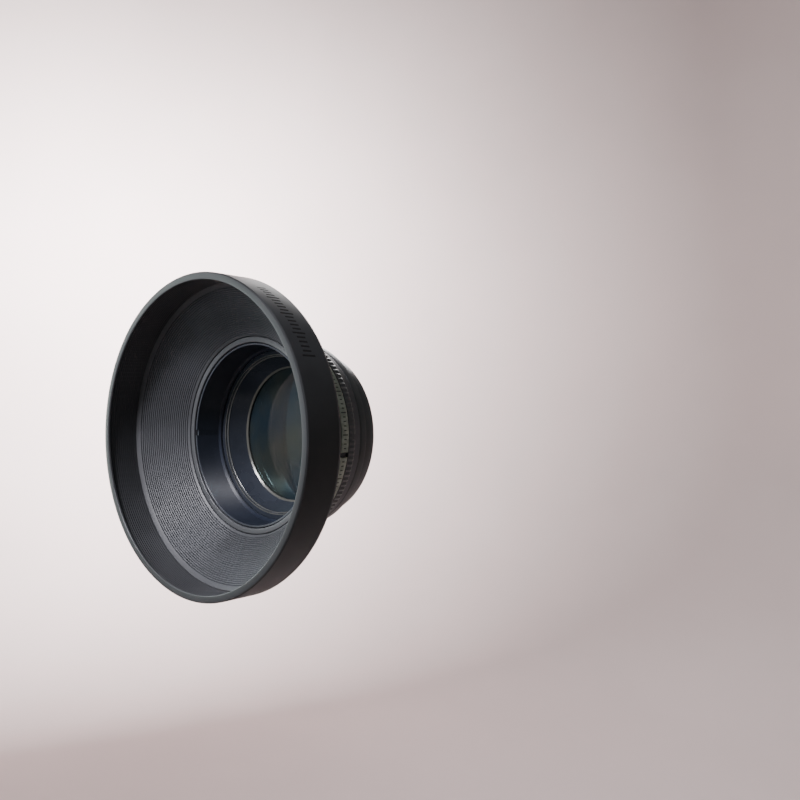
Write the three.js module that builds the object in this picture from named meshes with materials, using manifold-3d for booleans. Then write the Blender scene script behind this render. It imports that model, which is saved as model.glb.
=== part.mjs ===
// Lens hood: a wide turned dish that clamps on the front of a large cine lens and
// holds a round filter in its throat. Millimetres, +Z up. The hood looks along -Y and
// the lens enters from +Y. The origin is the centre of the ring the lens seats on.
import * as THREE from "three";
import { mergeVertices } from "three/addons/utils/BufferGeometryUtils.js";
import Module from "manifold-3d";

// Depths are measured rearwards from the plane of the front rim.
const SEAT_DEPTH = 66;
const GAP = 0.3;
const RING_SEGMENTS = 48;
const SMALL_SEGMENTS = 24;

// Front band: the wide outer rim of the dish.
const BAND_RADIUS = 75;
const BAND_BORE = 72.5;
const RIM_INNER_RADIUS = 71.5;
const RIM_LIP_DEPTH = 1.2;
const BAND_SHOULDER_DEPTH = 18.1;
const BAND_DEPTH = 20.3;

// Cone dish: the shallow grooved cone and the short hub behind it.
const DISH_RADIUS = BAND_BORE - GAP;
const DISH_FRONT_DEPTH = 16.4;
const DISH_WALL = 2.7;
const DISH_FLOOR_RADIUS = 48.3;
const DISH_FLOOR_DEPTH = 33.3;
const HUB_RADIUS = 49.5;
const HUB_BORE = 47.3;
const HUB_SEAT_DEPTH = 35.3;
const HUB_REAR_DEPTH = 44.2;

// Filter barrel: the tube through the hub, with a bright lip in front of the dish.
const LIP_RADIUS = 48;
const LIP_FRONT_DEPTH = 33.5;
const LIP_THICKNESS = 1.5;
const BARREL_RADIUS = 47;
const BARREL_BORE = 45.3;
const BARREL_REAR_DEPTH = 61.5;
const SHOULDER_RADIUS = 41;
const SHOULDER_DEPTH = 53.3;

// Lock ring and its washer: they draw the dish back against the lip. A pale open band
// sits on a step at the front of the ring, and its grip is notched for a spanner.
const LOCK_WASHER_RADIUS = 49.3;
const LOCK_WASHER_THICKNESS = 0.7;
const LOCK_RING_RADIUS = 50;
const LOCK_STEP_RADIUS = 48.5;
const LOCK_STEP_LENGTH = 5.2;
const LOCK_GRIP_LENGTH = 4.5;
const SCALE_BAND_LENGTH = 4.7;
const SCALE_BAND_OPENING = 2.4;
const SCALE_BAND_TURN = THREE.MathUtils.degToRad(-9.5);
const NOTCH_COUNT = 4;
const NOTCH_WIDTH = 3;
const NOTCH_DEPTH = 1.2;
const NOTCH_LENGTH = 2;

// Filter cell: a funnel-shaped rim with the glass at its narrow end and a retainer
// behind the glass. The threaded sleeve holds its flange in the barrel.
const FILTER_FRONT_DEPTH = 49.9;
const FILTER_FLANGE_RADIUS = 44.6;
const FILTER_FLANGE_THICKNESS = 2.1;
const FILTER_BODY_RADIUS = 40.6;
const FILTER_MOUTH_RADIUS = 39.9;
const WINDOW_RADIUS = 33.8;
const WINDOW_DEPTH = 60.2;
const WINDOW_LIP = 0.7;
const GLASS_RADIUS = 36;
const GLASS_THICKNESS = 2;
const RETAINER_THICKNESS = 0.7;
const GASKET_THICKNESS = 0.7;
const SLEEVE_RADIUS = 44.95;
const SLEEVE_BORE = 43.9;
const SLEEVE_FRONT_DEPTH = 34.3;
const SLEEVE_LIP_BORE = 42.5;
const SLEEVE_LIP_LENGTH = 1;
const SLEEVE_SLOT_WIDTH = 3;
const SLEEVE_SLOT_DEPTH = 1.2;

// Lens adapter: a flange screwed to the barrel and a slotted collar round the lens.
const FLANGE_RADIUS = 47;
const FLANGE_THICKNESS = 4.2;
const FLANGE_POCKET_RADIUS = 41;
const FLANGE_WEB = 1.5;
const CLEAR_RADIUS = 35.2;
const SEAT_RADIUS = 36.5;
const SEAT_RELIEF = 0.4;
const COLLAR_BORE = 37.7;
const COLLAR_RADIUS = 39.7;
const COLLAR_BEAD_RADIUS = 40.8;
const COLLAR_LENGTH = 12;
const COLLAR_BEAD_LENGTH = 1;
const COLLAR_SLOT_COUNT = 4;
const COLLAR_SLOT_WIDTH = 1.6;
const FELT_BORE = 36.8;
const FELT_START = 1;
const FELT_END = 11;
const FELT_OPENING = 6;

// Screws through the flange into the barrel shoulder.
const FLANGE_SCREW_COUNT = 4;
const FLANGE_SCREW_CIRCLE = 43.8;
const FLANGE_SCREW_HEAD_RADIUS = 1.9;
const FLANGE_SCREW_HEAD_HEIGHT = 1.5;
const FLANGE_SCREW_SHANK_RADIUS = 1.1;
const FLANGE_SCREW_REACH = 5.8;
const COUNTERBORE_DEPTH = 2;
const SLOT_WIDTH = 0.6;
const SLOT_DEPTH = 0.6;

// Clamp round the collar. Its ears are on the -X side and its screw stands upright.
const CLAMP_BORE = 40.2;
const CLAMP_RADIUS = 42.4;
const CLAMP_START = 3;
const CLAMP_WIDTH = 7.5;
const CLAMP_HALF_OPENING = 3;
const EAR_THICKNESS = 3;
const EAR_REACH = 53.5;
const CLAMP_SCREW_X = -49;
const CLAMP_SCREW_RADIUS = 2;
const CLAMP_SCREW_BOTTOM = -10.5;
const CLAMP_SCREW_TOP = 14.6;
const CLAMP_WASHER_RADIUS = 5;
const CLAMP_WASHER_THICKNESS = 0.7;
const KNOB_RADIUS = 6;
const KNOB_HEIGHT = 7;
const NUT_RADIUS = 4.2;
const NUT_HEIGHT = 3;

const WELD_TOLERANCE = 1e-3;

const wasm = await Module();
wasm.setup();

// Turns a three.js shape into a manifold solid that can be joined or cut.
function toSolid(geometry) {
  const bare = geometry.index ? geometry.toNonIndexed() : geometry.clone();
  bare.deleteAttribute("normal");
  bare.deleteAttribute("uv");
  const welded = mergeVertices(bare, WELD_TOLERANCE);
  const corners = [];
  for (let i = 0; i < welded.index.count; i += 3) {
    const [a, b, c] = welded.index.array.slice(i, i + 3);
    if (a !== b && b !== c && c !== a) {
      corners.push(a, b, c);
    }
  }
  const mesh = new wasm.Mesh({
    numProp: 3,
    vertProperties: welded.attributes.position.array,
    triVerts: new Uint32Array(corners),
  });
  return new wasm.Manifold(mesh);
}

// Turns a manifold solid back into a three.js shape with flat faces.
function toGeometry(solid) {
  const mesh = solid.getMesh();
  const geometry = new THREE.BufferGeometry();
  const positions = new Float32Array(mesh.vertProperties);
  geometry.setAttribute("position", new THREE.BufferAttribute(positions, mesh.numProp));
  geometry.setIndex(new THREE.BufferAttribute(new Uint32Array(mesh.triVerts), 1));
  geometry.computeVertexNormals();
  return geometry;
}

// A body of revolution about the optical axis, from [radius, depth] corners.
function turned(profile) {
  const points = profile.map(([radius, depth]) => new THREE.Vector2(radius, depth - SEAT_DEPTH));
  if (profile[0][0] > 0) {
    points.push(points[0].clone());
  }
  return new THREE.LatheGeometry(points, RING_SEGMENTS);
}

// A plain ring about the optical axis.
function plainRing(inner, outer, front, rear) {
  return turned([
    [outer, front],
    [outer, rear],
    [inner, rear],
    [inner, front],
  ]);
}

// A block that crosses a ring wall at one angle about the optical axis, measured from
// +X towards +Z. The block runs from the inner to the outer radius.
function wallBlock(angle, inner, outer, front, rear, width) {
  const block = new THREE.BoxGeometry(outer - inner, rear - front, width);
  block.translate((inner + outer) / 2, (front + rear) / 2 - SEAT_DEPTH, 0);
  block.rotateY(-angle);
  return block;
}

// A rod along the optical axis, standing off it at one angle.
function axialRod(radius, front, rear, offset, angle) {
  const rod = new THREE.CylinderGeometry(radius, radius, rear - front, SMALL_SEGMENTS);
  rod.translate(offset * Math.cos(angle), (front + rear) / 2 - SEAT_DEPTH, offset * Math.sin(angle));
  return rod;
}

// An upright rod on the axis of the clamp screw.
function uprightRod(radius, bottom, top, segments = SMALL_SEGMENTS) {
  const rod = new THREE.CylinderGeometry(radius, radius, top - bottom, segments);
  rod.rotateX(Math.PI / 2);
  rod.translate(CLAMP_SCREW_X, CLAMP_START + CLAMP_WIDTH / 2, (bottom + top) / 2);
  return rod;
}

// Evenly spaced angles round the axis.
function anglesAround(count, first = 0) {
  return Array.from({ length: count }, (_, index) => first + (index * 2 * Math.PI) / count);
}

// Cuts every tool out of one blank.
function cut(blank, tools) {
  return tools.reduce((solid, tool) => solid.subtract(toSolid(tool)), blank);
}

const blackMetal = { color: 0x17181a, metalness: 0.6, roughness: 0.5 };
const greyMetal = { color: 0x8f9691, metalness: 0.9, roughness: 0.4 };
const brightMetal = { color: 0xc4c6c8, metalness: 1, roughness: 0.3 };
const darkRubber = { color: 0x111111, metalness: 0, roughness: 0.9 };
const darkFelt = { color: 0x1a1918, metalness: 0, roughness: 1 };
const tintedGlass = { color: 0x2c3436, metalness: 0, roughness: 0.05, transparent: true, opacity: 0.5 };

const hood = new THREE.Group();
hood.name = "lens_hood";

function addPiece(name, shape, finish) {
  const geometry = shape.isBufferGeometry ? shape : toGeometry(shape);
  const piece = new THREE.Mesh(geometry, new THREE.MeshStandardMaterial(finish));
  piece.name = name;
  hood.add(piece);
}

addPiece("front_band", turned([
  [BAND_RADIUS, 0.5],
  [BAND_RADIUS, BAND_SHOULDER_DEPTH],
  [BAND_RADIUS - 0.6, BAND_DEPTH - 0.7],
  [BAND_RADIUS - 1.5, BAND_DEPTH],
  [BAND_BORE, BAND_DEPTH],
  [BAND_BORE, RIM_LIP_DEPTH + 0.8],
  [RIM_INNER_RADIUS, RIM_LIP_DEPTH],
  [RIM_INNER_RADIUS, 0.3],
  [RIM_INNER_RADIUS + 0.3, 0],
  [BAND_RADIUS - 0.5, 0],
]), blackMetal);

const coneSlope = (DISH_FLOOR_DEPTH - DISH_FRONT_DEPTH) / (DISH_RADIUS - DISH_FLOOR_RADIUS);
const coneBackDepth = (radius) => DISH_FRONT_DEPTH + DISH_WALL + (DISH_RADIUS - radius) * coneSlope;
const dishEdgeRadius = DISH_RADIUS - (BAND_DEPTH - DISH_FRONT_DEPTH - DISH_WALL) / coneSlope;

addPiece("cone_dish", turned([
  [DISH_RADIUS, DISH_FRONT_DEPTH],
  [DISH_RADIUS, BAND_DEPTH],
  [dishEdgeRadius, BAND_DEPTH],
  [HUB_RADIUS, coneBackDepth(HUB_RADIUS)],
  [HUB_RADIUS, HUB_REAR_DEPTH],
  [HUB_BORE, HUB_REAR_DEPTH],
  [HUB_BORE, HUB_SEAT_DEPTH],
  [DISH_FLOOR_RADIUS, HUB_SEAT_DEPTH],
  [DISH_FLOOR_RADIUS, DISH_FLOOR_DEPTH],
]), blackMetal);

const screwAngles = anglesAround(FLANGE_SCREW_COUNT, Math.PI / FLANGE_SCREW_COUNT);
const screwHoleRadius = FLANGE_SCREW_SHANK_RADIUS + GAP;
const screwSeatDepth = SEAT_DEPTH - COUNTERBORE_DEPTH + GAP;
const screwTipDepth = screwSeatDepth - FLANGE_SCREW_REACH;

const barrelBlank = turned([
  [LIP_RADIUS, LIP_FRONT_DEPTH + 0.3],
  [LIP_RADIUS, LIP_FRONT_DEPTH + LIP_THICKNESS],
  [BARREL_RADIUS, LIP_FRONT_DEPTH + LIP_THICKNESS],
  [BARREL_RADIUS, BARREL_REAR_DEPTH],
  [SHOULDER_RADIUS, BARREL_REAR_DEPTH],
  [SHOULDER_RADIUS, SHOULDER_DEPTH],
  [BARREL_BORE, SHOULDER_DEPTH],
  [BARREL_BORE, LIP_FRONT_DEPTH + 0.3],
  [BARREL_BORE + 0.3, LIP_FRONT_DEPTH],
  [LIP_RADIUS - 0.3, LIP_FRONT_DEPTH],
]);
addPiece("filter_barrel", cut(toSolid(barrelBlank), screwAngles.map((angle) => (
  axialRod(screwHoleRadius, screwTipDepth - GAP, BARREL_REAR_DEPTH + 1, FLANGE_SCREW_CIRCLE, angle)
))), blackMetal);

const lockWasherFront = HUB_REAR_DEPTH + GAP;
const lockWasherRear = lockWasherFront + LOCK_WASHER_THICKNESS;
addPiece("lock_washer", plainRing(
  BARREL_RADIUS + GAP, LOCK_WASHER_RADIUS, lockWasherFront, lockWasherRear,
), brightMetal);

const lockRingFront = lockWasherRear + GAP;
const lockStepRear = lockRingFront + LOCK_STEP_LENGTH;
const lockRingRear = lockStepRear + LOCK_GRIP_LENGTH;
const lockRingBlank = turned([
  [LOCK_STEP_RADIUS, lockRingFront],
  [LOCK_STEP_RADIUS, lockStepRear],
  [LOCK_RING_RADIUS, lockStepRear],
  [LOCK_RING_RADIUS, lockRingRear - 0.5],
  [LOCK_RING_RADIUS - 0.5, lockRingRear],
  [BARREL_RADIUS + GAP, lockRingRear],
  [BARREL_RADIUS + GAP, lockRingFront],
]);
addPiece("lock_ring", cut(toSolid(lockRingBlank), anglesAround(NOTCH_COUNT).map((angle) => (
  wallBlock(
    angle, LOCK_RING_RADIUS - NOTCH_DEPTH, LOCK_RING_RADIUS + 1,
    lockRingRear - NOTCH_LENGTH, lockRingRear + 1, NOTCH_WIDTH,
  )
))), blackMetal);

const scaleBandRear = lockStepRear - GAP;
const scaleBandFront = scaleBandRear - SCALE_BAND_LENGTH;
const scaleBandRing = plainRing(
  LOCK_STEP_RADIUS + GAP, LOCK_RING_RADIUS, scaleBandFront, scaleBandRear,
);
addPiece("scale_band", cut(toSolid(scaleBandRing), [wallBlock(
  SCALE_BAND_TURN, LOCK_STEP_RADIUS - 1, LOCK_RING_RADIUS + 1,
  scaleBandFront - 1, scaleBandRear + 1, SCALE_BAND_OPENING,
)]), greyMetal);

const flangeRearDepth = FILTER_FRONT_DEPTH + FILTER_FLANGE_THICKNESS;
const glassFront = WINDOW_DEPTH + WINDOW_LIP + GAP;
const glassRear = glassFront + GLASS_THICKNESS;
const retainerFront = glassRear + GAP;
const retainerRear = retainerFront + RETAINER_THICKNESS;

addPiece("filter_rim", turned([
  [FILTER_FLANGE_RADIUS, FILTER_FRONT_DEPTH + 0.3],
  [FILTER_FLANGE_RADIUS, flangeRearDepth],
  [FILTER_BODY_RADIUS, flangeRearDepth],
  [FILTER_BODY_RADIUS, retainerRear],
  [GLASS_RADIUS + GAP, retainerRear],
  [GLASS_RADIUS + GAP, WINDOW_DEPTH + WINDOW_LIP],
  [WINDOW_RADIUS, WINDOW_DEPTH + WINDOW_LIP],
  [WINDOW_RADIUS, WINDOW_DEPTH],
  [FILTER_MOUTH_RADIUS, FILTER_FRONT_DEPTH],
  [FILTER_FLANGE_RADIUS - 0.3, FILTER_FRONT_DEPTH],
]), blackMetal);

addPiece("filter_glass", turned([
  [0, glassFront],
  [GLASS_RADIUS - 0.2, glassFront],
  [GLASS_RADIUS, glassFront + 0.2],
  [GLASS_RADIUS, glassRear - 0.2],
  [GLASS_RADIUS - 0.2, glassRear],
  [0, glassRear],
]), tintedGlass);

addPiece("filter_retainer", plainRing(
  WINDOW_RADIUS, GLASS_RADIUS, retainerFront, retainerRear,
), blackMetal);

addPiece("filter_gasket", plainRing(
  SHOULDER_RADIUS, FILTER_FLANGE_RADIUS,
  flangeRearDepth + GAP, flangeRearDepth + GAP + GASKET_THICKNESS,
), darkRubber);

const sleeveRearDepth = FILTER_FRONT_DEPTH - GAP;
const sleeveLipFront = sleeveRearDepth - SLEEVE_LIP_LENGTH;
const sleeveBlank = turned([
  [SLEEVE_RADIUS, SLEEVE_FRONT_DEPTH + 0.2],
  [SLEEVE_RADIUS, sleeveRearDepth],
  [SLEEVE_LIP_BORE, sleeveRearDepth],
  [SLEEVE_LIP_BORE, sleeveLipFront],
  [SLEEVE_BORE, sleeveLipFront - 0.5],
  [SLEEVE_BORE, SLEEVE_FRONT_DEPTH + 0.2],
  [SLEEVE_BORE + 0.2, SLEEVE_FRONT_DEPTH],
  [SLEEVE_RADIUS - 0.2, SLEEVE_FRONT_DEPTH],
]);
addPiece("retaining_sleeve", cut(toSolid(sleeveBlank), anglesAround(2).map((angle) => (
  wallBlock(
    angle, SLEEVE_BORE - 1, SLEEVE_RADIUS + 1,
    SLEEVE_FRONT_DEPTH - 1, SLEEVE_FRONT_DEPTH + SLEEVE_SLOT_DEPTH, SLEEVE_SLOT_WIDTH,
  )
))), blackMetal);

const flangeFront = SEAT_DEPTH - FLANGE_THICKNESS;
const collarRear = SEAT_DEPTH + COLLAR_LENGTH;
const adapterBlank = turned([
  [FLANGE_RADIUS, flangeFront + 0.4],
  [FLANGE_RADIUS, SEAT_DEPTH - 0.4],
  [FLANGE_RADIUS - 0.4, SEAT_DEPTH],
  [COLLAR_RADIUS, SEAT_DEPTH],
  [COLLAR_RADIUS, collarRear - COLLAR_BEAD_LENGTH],
  [COLLAR_BEAD_RADIUS, collarRear - COLLAR_BEAD_LENGTH],
  [COLLAR_BEAD_RADIUS, collarRear],
  [COLLAR_BORE + 0.4, collarRear],
  [COLLAR_BORE, collarRear - 0.4],
  [COLLAR_BORE, SEAT_DEPTH - SEAT_RELIEF],
  [SEAT_RADIUS, SEAT_DEPTH - SEAT_RELIEF],
  [SEAT_RADIUS, SEAT_DEPTH],
  [CLEAR_RADIUS, SEAT_DEPTH],
  [CLEAR_RADIUS, SEAT_DEPTH - FLANGE_WEB],
  [FLANGE_POCKET_RADIUS, SEAT_DEPTH - FLANGE_WEB],
  [FLANGE_POCKET_RADIUS, flangeFront],
  [FLANGE_RADIUS - 0.4, flangeFront],
]);
const counterboreRadius = FLANGE_SCREW_HEAD_RADIUS + GAP;
const flangeHoles = screwAngles.flatMap((angle) => [
  axialRod(screwHoleRadius, flangeFront - 1, SEAT_DEPTH + 1, FLANGE_SCREW_CIRCLE, angle),
  axialRod(
    counterboreRadius, SEAT_DEPTH - COUNTERBORE_DEPTH, SEAT_DEPTH + 1, FLANGE_SCREW_CIRCLE, angle,
  ),
]);
const collarSlots = anglesAround(COLLAR_SLOT_COUNT, Math.PI / COLLAR_SLOT_COUNT).map((angle) => (
  wallBlock(
    angle, COLLAR_BORE - 1, COLLAR_BEAD_RADIUS + 1,
    SEAT_DEPTH + CLAMP_START - 1, collarRear + 1, COLLAR_SLOT_WIDTH,
  )
));
addPiece("lens_adapter", cut(toSolid(adapterBlank), [...flangeHoles, ...collarSlots]), blackMetal);

screwAngles.forEach((angle, index) => {
  const headRear = screwSeatDepth + FLANGE_SCREW_HEAD_HEIGHT;
  const head = axialRod(
    FLANGE_SCREW_HEAD_RADIUS, screwSeatDepth, headRear, FLANGE_SCREW_CIRCLE, angle,
  );
  const shank = axialRod(
    FLANGE_SCREW_SHANK_RADIUS, screwTipDepth, headRear - SLOT_DEPTH, FLANGE_SCREW_CIRCLE, angle,
  );
  const slot = wallBlock(
    angle, FLANGE_SCREW_CIRCLE - FLANGE_SCREW_HEAD_RADIUS - 1,
    FLANGE_SCREW_CIRCLE + FLANGE_SCREW_HEAD_RADIUS + 1,
    headRear - SLOT_DEPTH, headRear + 1, SLOT_WIDTH,
  );
  const screw = cut(toSolid(head).add(toSolid(shank)), [slot]);
  addPiece(`adapter_screw_${index + 1}`, screw, brightMetal);
});

const feltRing = plainRing(
  FELT_BORE, COLLAR_BORE - GAP, SEAT_DEPTH + FELT_START, SEAT_DEPTH + FELT_END,
);
const feltOpening = wallBlock(
  Math.PI, FELT_BORE - 2, COLLAR_BORE + 1,
  SEAT_DEPTH + FELT_START - 1, SEAT_DEPTH + FELT_END + 1, FELT_OPENING,
);
addPiece("collar_felt", cut(toSolid(feltRing), [feltOpening]), darkFelt);

const clampFront = SEAT_DEPTH + CLAMP_START;
const clampRear = clampFront + CLAMP_WIDTH;
const earHeight = CLAMP_HALF_OPENING + EAR_THICKNESS;
const clampHoop = plainRing(CLAMP_BORE, CLAMP_RADIUS, clampFront, clampRear);
const clampEars = wallBlock(Math.PI, CLAMP_BORE + 0.5, EAR_REACH, clampFront, clampRear, 2 * earHeight);
const clampOpening = wallBlock(
  Math.PI, CLAMP_BORE - 2, EAR_REACH + 1, clampFront - 1, clampRear + 1, 2 * CLAMP_HALF_OPENING,
);
const clampScrewHole = uprightRod(CLAMP_SCREW_RADIUS + GAP, -earHeight - 1, earHeight + 1);
addPiece("clamp_band", cut(
  toSolid(clampHoop).add(toSolid(clampEars)), [clampOpening, clampScrewHole],
), brightMetal);

const nutTop = -earHeight - GAP;
addPiece("clamp_nut", cut(toSolid(uprightRod(NUT_RADIUS, nutTop - NUT_HEIGHT, nutTop, 6)), [
  uprightRod(CLAMP_SCREW_RADIUS + GAP, nutTop - NUT_HEIGHT - 1, nutTop + 1),
]), brightMetal);

const clampWasherBottom = earHeight + GAP;
const clampWasherTop = clampWasherBottom + CLAMP_WASHER_THICKNESS;
addPiece("clamp_washer", cut(
  toSolid(uprightRod(CLAMP_WASHER_RADIUS, clampWasherBottom, clampWasherTop)),
  [uprightRod(CLAMP_SCREW_RADIUS + GAP, clampWasherBottom - 1, clampWasherTop + 1)],
), brightMetal);

addPiece("clamp_screw", uprightRod(
  CLAMP_SCREW_RADIUS, CLAMP_SCREW_BOTTOM, CLAMP_SCREW_TOP,
), brightMetal);

const knobBottom = clampWasherTop + GAP;
addPiece("clamp_knob", cut(
  toSolid(uprightRod(KNOB_RADIUS, knobBottom, knobBottom + KNOB_HEIGHT)),
  [uprightRod(CLAMP_SCREW_RADIUS + GAP, knobBottom - 1, knobBottom + KNOB_HEIGHT + 1)],
), blackMetal);

export default hood;
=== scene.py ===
"""A wide, round lens hood for a cine lens: its looks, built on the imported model.

Lengths in the profiles are millimetres. A profile lists (radius, depth, wear) corners, where depth
runs rearwards from the front rim and wear is that of the face that starts at the corner.
"""

import math

import bmesh
import bpy
from mathutils import Matrix, Vector


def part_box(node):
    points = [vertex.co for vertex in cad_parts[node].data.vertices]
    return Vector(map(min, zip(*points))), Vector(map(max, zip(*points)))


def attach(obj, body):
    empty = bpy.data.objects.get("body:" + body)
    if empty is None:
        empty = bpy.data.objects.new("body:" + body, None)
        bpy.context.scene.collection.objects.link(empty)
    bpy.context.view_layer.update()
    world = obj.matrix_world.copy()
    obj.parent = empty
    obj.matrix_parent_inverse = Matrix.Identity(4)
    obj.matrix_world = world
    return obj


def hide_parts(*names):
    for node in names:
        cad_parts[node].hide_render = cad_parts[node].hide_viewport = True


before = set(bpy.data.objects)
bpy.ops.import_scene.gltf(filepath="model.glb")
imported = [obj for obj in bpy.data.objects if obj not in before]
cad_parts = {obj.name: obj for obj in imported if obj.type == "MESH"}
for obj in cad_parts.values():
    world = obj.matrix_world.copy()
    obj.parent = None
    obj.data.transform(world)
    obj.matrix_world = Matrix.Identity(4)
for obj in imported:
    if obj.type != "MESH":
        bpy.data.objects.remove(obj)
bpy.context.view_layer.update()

MM = 0.001
TAU = 2 * math.pi
WELD_DISTANCE = 1e-7
RIM_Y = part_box("front_band")[0].y / MM

# Steps round a turned piece.
RING_STEPS = 384
ADAPTER_STEPS = 192
SMALL_STEPS = 64

# Rounding of an outline's corners: its size, the largest share of an edge that it takes, and the
# wear that it adds to an outward corner.
EDGE_ROUND = 0.15
FINE_EDGE = 0.12
EDGE_SHARE = 0.4
EDGE_WEAR = 0.3

# Angles between faces, in degrees, above which an edge is kept sharp or is rounded after a cut.
SMOOTH_ANGLE = 32
BEVEL_ANGLE = 35

# How far a cutter reaches past what it cuts.
CUT_MARGIN = 1


# ---------------------------------------------------------------- shapes


def size_of(node):
    """(largest radius, front depth, rear depth) of a round CAD node, in millimetres."""
    low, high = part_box(node)
    return high.x / MM, low.y / MM - RIM_Y, high.y / MM - RIM_Y


def height_of(node):
    """(bottom, top) of a CAD node, in millimetres."""
    low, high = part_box(node)
    return low.z / MM, high.z / MM


def softened(corners, edge=EDGE_ROUND, edge_wear=EDGE_WEAR):
    """The closed outline with each corner rounded off, as (radius, depth, wear) points."""
    points = []
    for index, corner in enumerate(corners):
        here = Vector(corner[:2])
        before = Vector(corners[index - 1][:2]) - here
        after = Vector(corners[(index + 1) % len(corners)][:2]) - here
        cut = min(edge, EDGE_SHARE * before.length, EDGE_SHARE * after.length)
        start = here + before.normalized() * cut
        end = here + after.normalized() * cut
        middle = (start + 2 * here + end) / 4
        outward = before.cross(after) < 0
        face_before, face_after = corners[index - 1][2], corner[2]
        wear = max(face_before, face_after, edge_wear if outward else 0)
        points.append((*start, face_before))
        points.append((*middle, wear))
        points.append((*end, face_after))
    return points


def grooves(start, end, pitch, depth, wear):
    """Points of a face cut with fine V grooves, from start towards end. The cuts go to the left of
    that direction, into the metal of an outline that runs anticlockwise in (radius, depth)."""
    land_share, valley_share = 0.42, 0.71
    start, end = Vector(start), Vector(end)
    along = (end - start).normalized()
    inward = Vector((-along.y, along.x))
    count = round((end - start).length / pitch)
    step = (end - start).length / count
    points = []
    for index in range(count):
        base = start + along * step * index
        points.append((*base, wear))
        points.append((*(base + along * land_share * step), wear))
        points.append((*(base + along * valley_share * step + inward * depth), 0))
    points.append((*end, wear))
    return points


def revolve(name, points, steps=RING_STEPS, sweep=None, place=None, shape=None, angles=()):
    """A closed outline turned about the optical axis, or about place's own Y axis.

    sweep is (start, end) for an open ring. shape changes (radius, depth) at an angle. angles are
    further angles at which the outline is set, for crisp notches. Angles run from +X towards +Z.
    """
    first, last = sweep or (0, TAU)
    stops = sorted({first + (last - first) * i / steps for i in range(steps + 1)} | set(angles))
    if not sweep:
        stops = stops[:-1]
    count = len(points)
    vertices = []
    for angle in stops:
        for radius, depth, _ in points:
            if shape:
                radius, depth = shape(angle, radius, depth)
            spot = (radius * math.cos(angle), depth + RIM_Y, radius * math.sin(angle))
            vertices.append(Vector(spot) * MM)
    faces = []
    for i in range(len(stops) if not sweep else len(stops) - 1):
        row, next_row = i * count, (i + 1) % len(stops) * count
        for j in range(count):
            k = (j + 1) % count
            faces.append((row + j, row + k, next_row + k, next_row + j))
    if sweep:
        faces.append(tuple(range(count))[::-1])
        faces.append(tuple((len(stops) - 1) * count + j for j in range(count)))
    if place:
        vertices = [place @ v for v in vertices]
    return solid(name, vertices, faces, [point[2] for point in points] * len(stops))


def solid(name, vertices, faces, wear=None):
    """A new object from vertices and faces, with a wear value at each vertex."""
    mesh = bpy.data.meshes.new(name)
    mesh.from_pydata(vertices, [], faces)
    worn = mesh.attributes.new("wear", "FLOAT", "POINT")
    worn.data.foreach_set("value", wear or [0.0] * len(vertices))
    shaped = bmesh.new()
    shaped.from_mesh(mesh)
    bmesh.ops.remove_doubles(shaped, verts=shaped.verts, dist=WELD_DISTANCE)
    loose = [edge for edge in shaped.edges if not edge.link_faces]
    bmesh.ops.delete(shaped, geom=loose, context="EDGES")
    bmesh.ops.recalc_face_normals(shaped, faces=shaped.faces)
    shaped.to_mesh(mesh)
    shaped.free()
    obj = bpy.data.objects.new(name, mesh)
    bpy.context.collection.objects.link(obj)
    crisp(obj)
    return obj


def crisp(obj):
    """Smooth shading with sharp edges where faces meet at a wide angle."""
    obj.data.shade_smooth()
    obj.data.set_sharp_from_angle(angle=math.radians(SMOOTH_ANGLE))


def settle(obj):
    """Applies the object's modifiers."""
    evaluated = obj.evaluated_get(bpy.context.evaluated_depsgraph_get())
    finished = bpy.data.meshes.new_from_object(evaluated)
    obj.modifiers.clear()
    obj.data = finished
    crisp(obj)


def carve(obj, cutters, edge=0):
    """Cuts each cutter out of obj, then rounds the sharp edges by edge millimetres."""
    for cutter in cutters:
        cutting = obj.modifiers.new("cut", "BOOLEAN")
        cutting.object = cutter
        cutting.solver = "EXACT"
    settle(obj)
    for cutter in cutters:
        bpy.data.objects.remove(cutter)
    if edge:
        rounding = obj.modifiers.new("edges", "BEVEL")
        rounding.width = edge * MM
        rounding.segments = 2
        rounding.limit_method = "ANGLE"
        rounding.angle_limit = math.radians(BEVEL_ANGLE)
        settle(obj)


def block(low, high):
    """A box between two corners in millimetres, as a cutter."""
    spots = [(x, y, z) for x in (low[0], high[0]) for y in (low[1], high[1]) for z in (low[2], high[2])]
    faces = [(0, 1, 3, 2), (4, 6, 7, 5), (0, 4, 5, 1), (2, 3, 7, 6), (0, 2, 6, 4), (1, 5, 7, 3)]
    return solid("cutter", [Vector(spot) * MM for spot in spots], faces)


def wall_cutter(angle, inner, outer, front, rear, width):
    """A cutter through a ring's wall at one angle, given in radii and depths."""
    cutter = block((inner, front + RIM_Y, -width / 2), (outer, rear + RIM_Y, width / 2))
    cutter.data.transform(Matrix.Rotation(-angle, 4, "Y"))
    return cutter


def rod(name, profile, place, steps=SMALL_STEPS, shape=None):
    """A small turned piece about place's Y axis. profile holds (radius, height, wear)."""
    points = [(radius, height - RIM_Y, wear) for radius, height, wear in profile]
    return revolve(name, points, steps=steps, place=place, shape=shape)


def hole(radius, start, end, place, steps=SMALL_STEPS):
    """A round cutter about place's Y axis."""
    return rod("cutter", [(0, start, 0), (radius, start, 0), (radius, end, 0), (0, end, 0)], place, steps)


def upright(node):
    """The place of a piece that stands on the clamp screw's axis."""
    low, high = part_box(node)
    centre = (low + high) / 2
    return Matrix.Translation((centre.x, centre.y, 0)) @ Matrix.Rotation(math.pi / 2, 4, "X")


def rippled(count, depth, inner, front, rear):
    """Straight knurling: radii outside inner, between two depths, dip count times round."""

    def shape(angle, radius, height):
        if radius > inner and front <= height <= rear:
            radius -= depth * (0.5 - 0.5 * math.cos(count * angle))
        return radius, height

    return shape


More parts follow.
